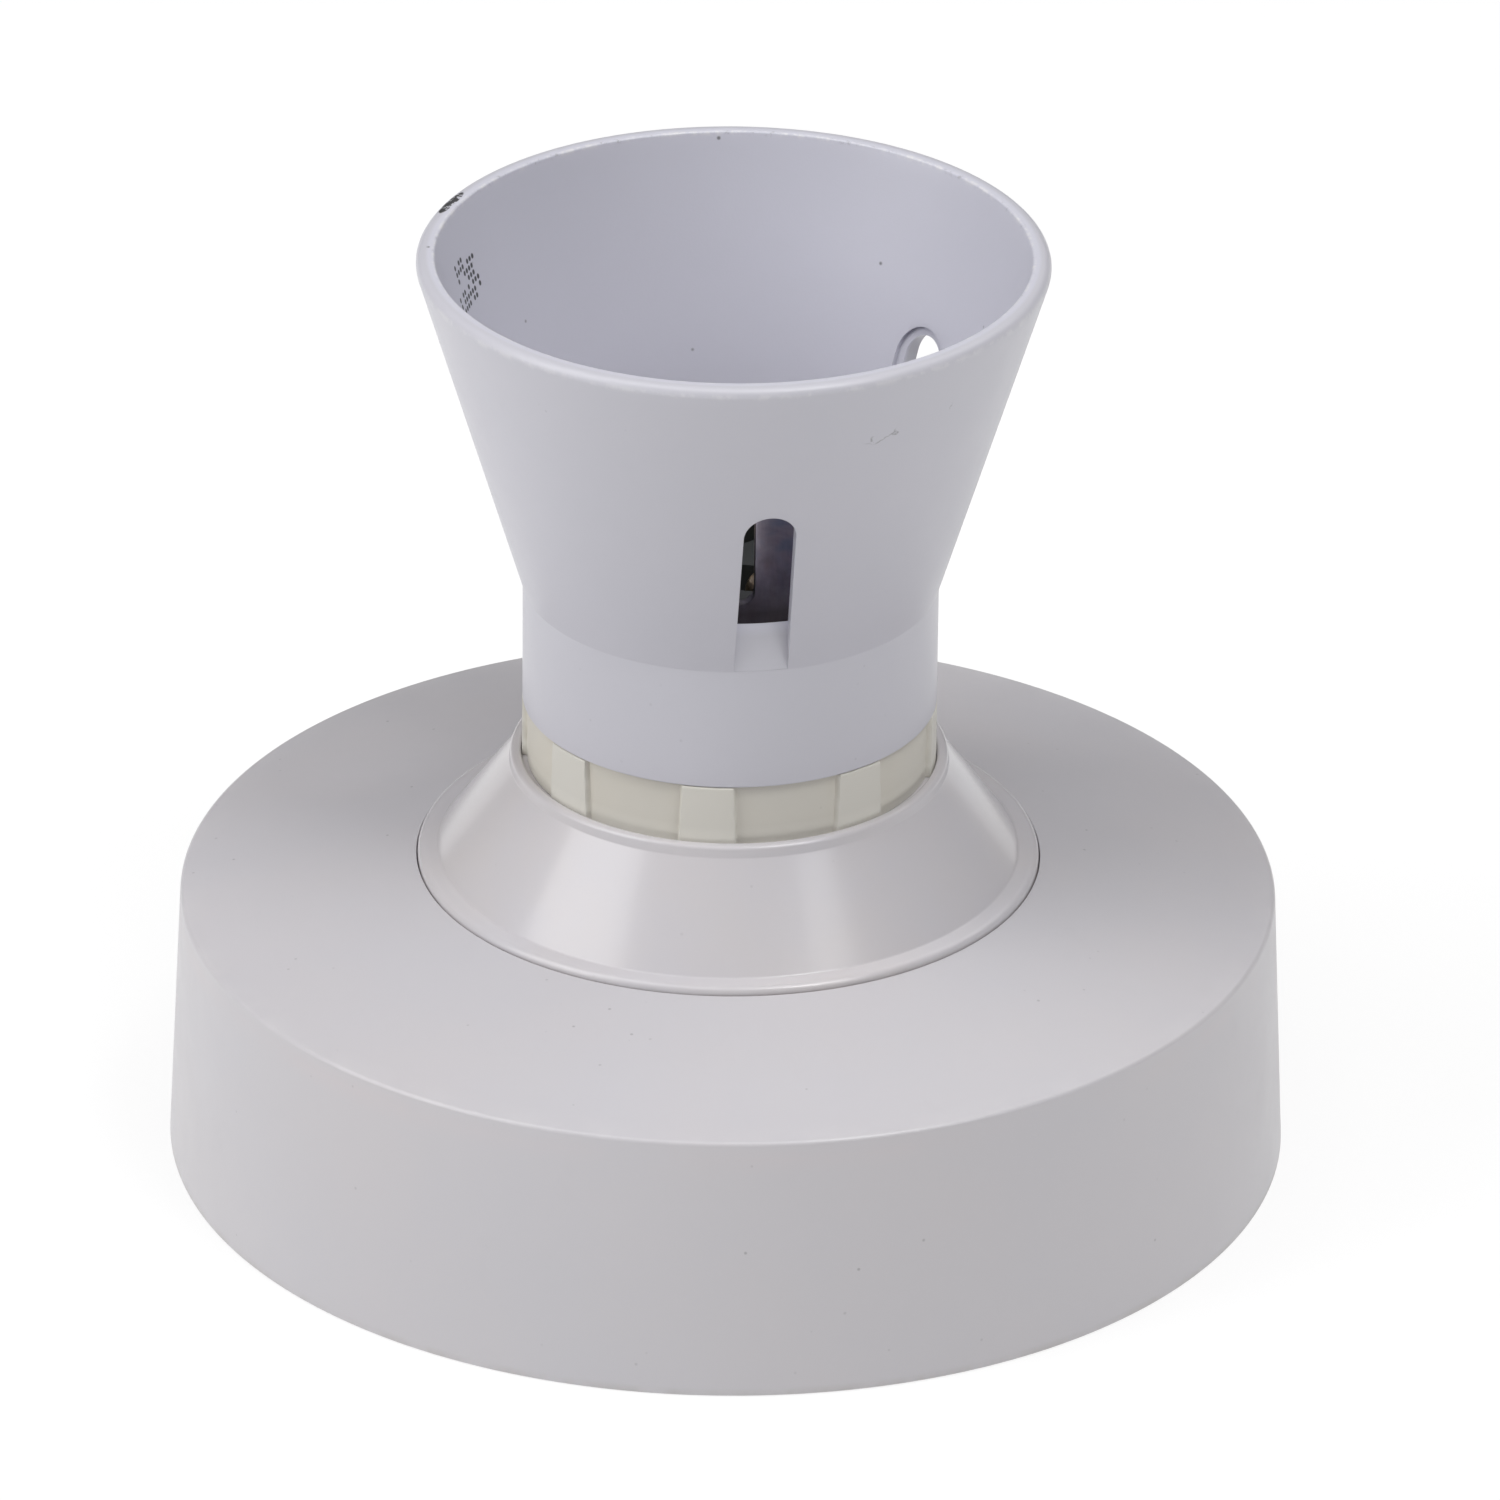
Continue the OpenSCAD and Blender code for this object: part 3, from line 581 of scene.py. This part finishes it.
MATERIALS = {
    "cover_plastic": cover_material(),
    "collar_plastic": collar_material(),
    "cream_plastic": cream_material(),
    "skirt_plastic": skirt_material(),
    "plate_plastic": moulded_plastic(
        "plate_plastic", (0.62, 0.61, 0.60), 0.42, orange_peel=0.01
    )[0].material,
    "block_insulator": moulded_plastic(
        "block_insulator", (0.028, 0.032, 0.031), 0.45, grain=0.006, warm=(1.05, 1, 1)
    )[0].material,
    "plated_steel": sleeve_material(),
    "screw_steel": metal("screw_steel", (0.62, 0.60, 0.56), (0.38, 0.35, 0.31), 0.3)[0].material,
    "spring_steel": metal("spring_steel", (0.55, 0.55, 0.57), (0.3, 0.3, 0.32), 0.28)[0].material,
    "brass": metal("brass", (0.68, 0.58, 0.42), (0.36, 0.27, 0.16), 0.3)[0].material,
    "brown_insulation": moulded_plastic("brown_insulation", (0.13, 0.055, 0.025), 0.4)[0].material,
    "blue_insulation": moulded_plastic("blue_insulation", (0.03, 0.10, 0.33), 0.4)[0].material,
}


def place(piece, body, slot, *nodes):
    """Gives the piece its body, its material slot and the CAD nodes that it stands for."""
    piece.data.materials.clear()
    piece.data.materials.append(MATERIALS[slot])
    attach(piece, body)
    if nodes:
        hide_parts(*nodes)


# ---------------------------------------------------------------- pieces

def ceiling_z(r):
    """Underside of the cover's sloping top."""
    return HOLE_Z - COVER_WALL - (r - HOLE_R) * COVER_SLOPE


def make_base_cover():
    inner_r, shoulder_in = HOLE_R + COVER_WALL, SHOULDER_R - COVER_WALL
    bm = lathe_bmesh(outline([
        (COVER_R, 0, 0.15),
        (SHOULDER_R, SHOULDER_Z, 0.45),
        (HOLE_R, HOLE_Z, 0.08),
        (HOLE_R, SEAT_Z, 0.2),
        (LEDGE_R, SEAT_Z, 0.3),
        (LEDGE_R, SEAT_Z - COVER_WALL, 0.2),
        (inner_r, SEAT_Z - COVER_WALL, 0.3),
        (inner_r, ceiling_z(inner_r), 0.4),
        (shoulder_in, ceiling_z(shoulder_in), 1.2),
        (COVER_R - COVER_WALL, 0, 0.15),
    ]), segments=384)
    for i in range(RIBS):
        add_box(
            bm, (RIB_LOW_R, -RIB_T / 2, RIB_Z), (RIB_HIGH_R, RIB_T / 2, RIB_TOP_Z), azimuth=360 * i / RIBS
        )
    piece = finished("base_cover_shell", bm)
    place(piece, "cover", "cover_plastic", "base_cover")


def make_collar():
    along = (Vector(CONE_TOP) - Vector(CONE_FOOT)).normalized()
    inner_foot = Vector(CONE_FOOT) - COLLAR_WALL * Vector((along.y, -along.x))
    inner_top_z = COLLAR_TOP_Z - COLLAR_WALL
    inner_top_r = inner_foot.x + (inner_top_z - inner_foot.y) * along.x / along.y
    bm = lathe_bmesh(outline([
        (inner_foot.x, COLLAR_Z),
        (FLANGE_R, COLLAR_Z, 0.2),
        (FLANGE_R, CONE_FOOT[1], 0.62),
        (*CONE_FOOT, 0.35),
        (*CONE_TOP, 0.3),
        (LIP_R, LIP_Z, 0.42),
        (LIP_BORE_R, LIP_Z, 0.3),
        (LIP_BORE_R, COLLAR_TOP_Z, 0.1),
        (COLLAR_BORE_R, COLLAR_TOP_Z, 0.15),
        (COLLAR_BORE_R, inner_top_z, 0.15),
        (inner_top_r, inner_top_z, 0.5),
        (inner_foot.x, inner_foot.y, 0.4),
    ]))
    place(finished("collar_cone", bm), "collar_piece", "collar_plastic", "collar")


def pad_share(azimuth, z):
    """1 on a grip pad, 0 between pads, with a short slope at each side. The pads narrow a little going up."""
    flank, widening, taper = 0.7, 0.15, 0.85  # degrees
    spacing = 360 / PADS
    off = abs((azimuth - PAD_AZIMUTH + spacing / 2) % spacing - spacing / 2)
    half = PAD_ANGLE / 2 + widening - taper * (z - RING_Z) / (RING_TOP_Z - RING_Z)
    t = min(max((half + flank / 2 - off) / flank, 0), 1)
    return t * t * (3 - 2 * t)


def make_lock_ring():
    outer_r = PAD_R - 0.1  # radius at which the outline is drawn before pads and floor are formed
    fillet = 0.2

    def shape(azimuth, r, z):
        if r > outer_r - 0.01:
            corner = min(max((z - (RING_TOP_Z - fillet)) / fillet, 0), 1)
            drop = fillet * (1 - math.sqrt(max(1 - corner * corner, 0)))
            floor_r = RING_R - drop
            return floor_r + pad_share(azimuth, z) * max(PAD_R - drop - floor_r, 0)
        if abs(r - NUT_ROOT_R) < 1e-6:
            return r - RIDGE * thread_height(azimuth, z, RING_Z, RING_TOP_Z)
        return r

    points = (
        spaced((outer_r, RING_Z), (outer_r, RING_TOP_Z - 0.7), 0.5)
        + spaced((outer_r, RING_TOP_Z - 0.65), (outer_r, RING_TOP_Z), 0.06)
        + spaced((NUT_ROOT_R, RING_TOP_Z), (NUT_ROOT_R, RING_Z), 0.2)
    )
    bm = lathe_bmesh(points, segments=1080, shape=shape)
    place(finished("lock_ring_grip", bm, sharp=40), "ring", "cream_plastic", "lock_ring")


def skirt_bore_r(z):
    return RIM_BORE_R - (RIM_Z - z) * BORE_SLOPE


def make_skirt():
    def shape(azimuth, r, z):
        if abs(r - NUT_ROOT_R) < 1e-6:
            return r - RIDGE * thread_height(azimuth, z, NECK_Z + 0.4, WEB_Z - 0.2)
        return r

    bore = spaced((NUT_ROOT_R, WEB_Z), (NUT_ROOT_R, NECK_Z), 0.16)
    corners = [
        (NECK_R, NECK_Z, 0.12),
        (NECK_R, FLARE_Z, 0.6),
        (RIM_R, RIM_Z, 0.75),
        (RIM_BORE_R, RIM_Z, 0.25),
        (skirt_bore_r(WEB_TOP_Z), WEB_TOP_Z, 0.8),
        (WEB_BORE_R, WEB_TOP_Z, 0.3),
        (WEB_BORE_R, WEB_Z),
    ]
    rounded_part = outline(corners + [(NUT_ROOT_R, WEB_Z), (NUT_ROOT_R, NECK_Z)])[:-2]
    piece = finished("skirt_shell", lathe_bmesh(densified(rounded_part + bore, 1.5), shape=shape))
    for i in range(SLOTS):
        azimuth = SLOT_AZIMUTH + 360 * i / SLOTS
        slot = finished("slot", arch(SLOT_W, FLARE_Z + 0.1, SLOT_TOP_Z, 10, 40, foot=0.08))
        combine(slot, "DIFFERENCE", cone(NECK_R, NECK_R, 20, 100))
        pocket = finished(
            "pocket", arch(SLOT_W + 2 * POCKET_MARGIN, POCKET_Z, SLOT_TOP_Z + POCKET_MARGIN, 10, 40)
        )
        low_r, high_r = skirt_bore_r(50) + POCKET_DEPTH, skirt_bore_r(90) + POCKET_DEPTH
        combine(pocket, "INTERSECT", cone(low_r, high_r, 50, 90))
        for cutter in (pocket, slot):
            bm = bmesh.new()
            bm.from_mesh(cutter.data)
            bpy.data.objects.remove(cutter)
            combine(piece, "DIFFERENCE", turned(bm, azimuth))

    def at_slot(p):
        return POCKET_Z + 0.5 < p.z < SLOT_TOP_Z + 3 or (
            math.hypot(p.x, p.y) > NECK_R - 0.1 and FLARE_Z + 0.5 < p.z < SLOT_TOP_Z
        )

    soften(piece, 0.14, at_slot)
    place(piece, "skirt_piece", "skirt_plastic", "skirt")


def j_outline():
    """One J-slot in the unrolled wall, as (azimuth, height)."""
    half = J_W / 2
    run = math.radians(J_TWIST) * SLEEVE_R
    seat_top = J_BOTTOM_Z + J_W + J_RISE
    corners = [
        (half, SLEEVE_TOP_Z + 1),
        (half, J_BOTTOM_Z, 1.3),
        (-run - half, J_BOTTOM_Z, 1.3),
        (-run - half, seat_top, 1.3),
        (-run + half, seat_top, 0.9),
        (-run + half, J_BOTTOM_Z + J_W, 0.15),
        (-half, J_BOTTOM_Z + J_W, 0.3),
        (-half, SLEEVE_TOP_Z + 1),
    ]
    return [(math.degrees(s / SLEEVE_R), z) for s, z in densified(outline(corners, steps=6), 0.4)]


def wrapped_cutter(points, near, far, azimuth):
    """The (azimuth, height) outline as a solid between two radii."""
    bm = bmesh.new()
    turned_points = [(math.radians(a + azimuth), z) for a, z in points]
    inner, outer = [
        [bm.verts.new((r * math.sin(a) * MM, -r * math.cos(a) * MM, z * MM)) for a, z in turned_points]
        for r in (near, far)
    ]
    count = len(points)
    for k in range(count):
        bm.faces.new((inner[k], inner[(k + 1) % count], outer[(k + 1) % count], outer[k]))
    for ring in (inner, outer):
        cap = bm.faces.new(ring)
        bmesh.ops.triangulate(bm, faces=[cap])
    return bm


def make_sleeve():
    bm = lathe_bmesh(densified(outline([
        (SLEEVE_LOW_R, SLEEVE_Z),
        (SLEEVE_FLANGE_R, SLEEVE_Z, 0.1),
        (SLEEVE_FLANGE_R, SLEEVE_Z + SLEEVE_FLANGE_T, 0.3),
        (SLEEVE_R, SLEEVE_Z + SLEEVE_FLANGE_T, 0.5),
        (SLEEVE_R, SLEEVE_TOP_Z, 0.3),
        (SLEEVE_BORE_R, SLEEVE_TOP_Z, 0.3),
        (SLEEVE_BORE_R, SLEEVE_STEP_Z, 0.05),
        (SLEEVE_LOW_R, SLEEVE_STEP_Z, 0.05),
    ]), 1.5), segments=240)
    piece = finished("bayonet_sleeve_shell", bm)
    for i in range(J_SLOTS):
        combine(piece, "DIFFERENCE", wrapped_cutter(j_outline(), 9, 14, J_AZIMUTH + 360 * i / J_SLOTS))
    soften(piece, 0.1, lambda p: p.z > J_BOTTOM_Z - 0.5)
    place(piece, "holder", "plated_steel", "bayonet_sleeve")


def make_holder_body():
    def shape(azimuth, r, z):
        if abs(r - THREAD_ROOT_R) < 1e-6:
            return r + (RIDGE + 0.05) * thread_height(azimuth, z, THREAD_Z + 0.4, BARREL_TOP_Z - 0.3)
        return r

    thread = spaced((THREAD_ROOT_R, THREAD_Z), (THREAD_ROOT_R, BARREL_TOP_Z), 0.16)
    corners = outline([
        (BARREL_R, THREAD_Z),
        (THREAD_ROOT_R, THREAD_Z),
        (THREAD_ROOT_R, BARREL_TOP_Z),
        (SEAT_BORE_R, BARREL_TOP_Z, 0.15),
        (SEAT_BORE_R, SEAT_HIGH_Z),
        (NECK_BORE_R, SEAT_HIGH_Z, 0.15),
        (NECK_BORE_R, SEAT_LOW_Z, 0.15),
        (BARREL_BORE_R, SEAT_LOW_Z),
        (BARREL_BORE_R, BARREL_Z, 0.2),
        (FOOT_R, BARREL_Z, 0.2),
        (FOOT_R, BARREL_Z + FOOT_T, 0.6),
        (BARREL_R, BARREL_Z + FOOT_T, 0.8),
    ])
    piece = finished("threaded_barrel", lathe_bmesh(corners[:1] + thread + corners[3:], shape=shape))
    ear_top_z = BARREL_Z + EAR_T
    for angle in EARS:
        ear = bmesh.new()
        add_box(ear, (BARREL_R - 1, -EAR_R, BARREL_Z), (EAR_AT_R, EAR_R, ear_top_z))
        combine(piece, "UNION", turned(ear, angle))
        end = cone(EAR_R, EAR_R, BARREL_Z, ear_top_z, (EAR_AT_R, 0), 64)
        combine(piece, "UNION", turned(end, angle))
        hole = cone(EAR_HOLE_R, EAR_HOLE_R, BARREL_Z - 1, ear_top_z + 1, (EAR_AT_R, 0), 48)
        combine(piece, "DIFFERENCE", turned(hole, angle))
    window = bmesh.new()
    add_box(window, (-WINDOW_W / 2, -FOOT_R - 1, WINDOW_Z), (WINDOW_W / 2, -1, WINDOW_TOP_Z))
    combine(piece, "DIFFERENCE", window)
    soften(piece, 0.25, lambda p: BARREL_Z + 0.5 < p.z < WINDOW_TOP_Z + 1)
    place(piece, "holder", "cream_plastic", "holder_body")


def contact_at(azimuth, z):
    a = math.radians(azimuth)
    return (CONTACT_AT_R * math.sin(a), -CONTACT_AT_R * math.cos(a), z)


def sweep(points, radius, per_span=10, sides=20):
    """A round rod along a smooth path through the points."""
    path = []
    for i in range(len(points) - 1):
        a, b, c, d = (Vector(points[min(max(i + k, 0), len(points) - 1)]) for k in (-1, 0, 1, 2))
        for k in range(per_span):
            t = k / per_span
            square, cube = 2 * a - 5 * b + 4 * c - d, 3 * b - a - 3 * c + d
            path.append(0.5 * (2 * b + (c - a) * t + square * t**2 + cube * t**3))
    path.append(Vector(points[-1]))
    bm = bmesh.new()
    rings = []
    side = Vector((1, 0, 0))
    for i, p in enumerate(path):
        along = (path[min(i + 1, len(path) - 1)] - path[max(i - 1, 0)]).normalized()
        side = (side - side.dot(along) * along).normalized()
        other = along.cross(side)
        rings.append([
            bm.verts.new((p + radius * (math.cos(t) * side + math.sin(t) * other)) * MM)
            for t in (math.tau * k / sides for k in range(sides))
        ])
    for here, there in zip(rings, rings[1:]):
        for k in range(sides):
            bm.faces.new((here[k], here[(k + 1) % sides], there[(k + 1) % sides], there[k]))
    bm.faces.new(reversed(rings[0]))
    bm.faces.new(rings[-1])
    return bm


def make_lead(name, route, slot, node):
    """Insulation from a contact terminal to its supply terminal, with a bare core at both ends."""
    start, end = route[0], route[-1]
    piece = finished(name, sweep(route, LEAD_R))
    upper = cone(CORE_R, CORE_R, start[2] - 1, start[2] + 4, start[:2], 24)
    combine(piece, "UNION", upper)
    lower = sweep([(end[0], end[1] + 1, end[2]), (end[0], end[1] - 7, end[2])], CORE_R)
    combine(piece, "UNION", lower)
    place(piece, "holder", slot, node)


def make_spring(name, azimuth, node):
    """A compression spring with a closed turn at each end."""
    low_z, high_z = low(node, 2), high(node, 2)
    closed_rise = 2.1 * WIRE_R
    open_rise = (high_z - low_z - 2 * WIRE_R - 2 * closed_rise) / (SPRING_TURNS - 2)
    middle = contact_at(azimuth, low_z)
    steps = 16  # to a turn
    route = []
    for i in range(steps * SPRING_TURNS + 1):
        turns = i / steps
        opened = min(max(turns - 1, 0), SPRING_TURNS - 2)
        rise = open_rise * opened + closed_rise * (turns - opened)
        a = math.tau * turns
        route.append((
            middle[0] + SPRING_R * math.cos(a), middle[1] + SPRING_R * math.sin(a), low_z + WIRE_R + rise
        ))
    piece = finished(name, sweep(route, WIRE_R, per_span=3, sides=12))
    place(piece, "holder", "spring_steel", node)
    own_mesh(piece)


make_base_cover()
make_collar()
make_lock_ring()
make_skirt()
make_sleeve()
make_holder_body()
make_lead(
    "live_lead_insulated",
    [
        contact_at(CONTACT_AZIMUTH, 32.9), contact_at(CONTACT_AZIMUTH, 29), (2.2, -7.2, 22), (1, -10.5, 17.3),
        (0.3, -15, 14.4), (0.1, -19.5, 11.2), (0, -23, 9.7), (0, -26, 9.5),
    ],
    "brown_insulation", "live_lead",
)
make_lead(
    "neutral_lead_insulated",
    [
        contact_at(CONTACT_AZIMUTH + 180, 32.9), contact_at(CONTACT_AZIMUTH + 180, 29), (-5.2, 3.6, 24),
        (-6.8, 0, 19.5), (-6.4, -6.5, 16.5), (-5, -12.5, 15.2), (-6.5, -17.5, 13.2),
        (-10, -21.5, 10.3), (-11, -23.6, 9.6), (-11, -26, 9.5),
    ],
    "blue_insulation", "neutral_lead",
)
make_spring("live_spring_coil", CONTACT_AZIMUTH, "live_spring")
make_spring("neutral_spring_coil", CONTACT_AZIMUTH + 180, "neutral_spring")


# ---------------------------------------------------------------- carried-over CAD nodes

SLOT_OF = {row["node"]: row["material_slot"] for row in frame["record"]["subparts"]}
for node_name, node_object in frame["nodes"].items():
    node_object.data.materials.clear()
    node_object.data.materials.append(MATERIALS[SLOT_OF[node_name]])


# ---------------------------------------------------------------- stage, lights and camera

def make_floor():
    mesh = bpy.data.meshes.new("studio_floor")
    half = 6  # metres
    corners = [(-half, -half, 0), (half, -half, 0), (half, half, 0), (-half, half, 0)]
    mesh.from_pydata(corners, [], [(0, 1, 2, 3)])
    mesh.materials.append(stage_material())
    floor = bpy.data.objects.new("studio_floor", mesh)
    floor.location.z = CAD_BOX[0][2] - 0.0001
    bpy.context.scene.collection.objects.link(floor)


def area_light(name, direction, distance, size, power):
    """A rectangular softbox that faces the object from that direction, in metres and watts."""
    aim = Vector((0, 0, 0.04))
    light = bpy.data.lights.new(name, "AREA")
    light.shape = "RECTANGLE"
    light.size, light.size_y = size
    light.energy = power
    lamp = bpy.data.objects.new(name, light)
    way = Vector(direction).normalized()
    lamp.location = aim + way * distance
    lamp.rotation_euler = way.to_track_quat("Z", "Y").to_euler()
    bpy.context.scene.collection.objects.link(lamp)


def make_camera():
    """The camera of the view that the object is known from: a long lens, 28 degrees above the horizon."""
    place_at, target = Vector((0, -1.100, 0.59455)), Vector((0.00185, 0, 0.03764))
    roll = math.radians(0.584)
    forward = (target - place_at).normalized()
    side = forward.cross(Vector((0, 0, 1))).normalized()
    up = side.cross(forward)
    cos, sin = math.cos(roll), math.sin(roll)
    side, up = cos * side + sin * up, cos * up - sin * side
    camera = bpy.data.cameras.new("camera")
    camera.lens, camera.sensor_width = 333.0, 36.0
    holder = bpy.data.objects.new("camera", camera)
    turn = Matrix((side, up, -forward)).transposed().to_4x4()
    holder.matrix_world = Matrix.Translation(place_at) @ turn
    bpy.context.scene.collection.objects.link(holder)
    bpy.context.scene.camera = holder


def make_world():
    world = bpy.data.worlds.new("studio")
    world.use_nodes = True
    background = world.node_tree.nodes["Background"]
    background.inputs["Color"].default_value = (1.0, 1.0, 1.0, 1)
    background.inputs["Strength"].default_value = 0.02
    bpy.context.scene.world = world


make_floor()
make_world()
area_light("left_softbox", (-0.80, -0.30, 0.54), 1.3, (0.8, 0.8), 6.6)
area_light("left_high_softbox", (-0.50, -0.10, 0.85), 1.4, (0.6, 0.6), 3.6)
area_light("right_softbox", (0.57, -0.52, 0.63), 1.4, (0.35, 0.9), 2.3)
area_light("right_high_softbox", (0.35, -0.35, 0.87), 1.4, (0.5, 0.5), 5.8)
area_light("top_softbox", (0.0, -0.15, 1.0), 1.5, (1.2, 1.2), 9.0)
area_light("left_low_softbox", (-1.0, -0.15, 0.12), 1.3, (0.6, 0.6), 1.2)
area_light("right_rim_softbox", (0.70, 0.71, 0.06), 1.3, (0.12, 0.8), 0.07)
area_light("back_left_softbox", (-0.80, 0.55, 0.30), 1.3, (0.6, 0.6), 0.1)
area_light("back_right_softbox", (0.50, 0.45, 0.80), 1.3, (0.6, 0.6), 1.5)
area_light("back_softbox", (0.10, 0.75, 0.66), 1.4, (0.8, 0.6), 0.9)
make_camera()
bpy.context.scene.view_settings.view_transform = "Standard"
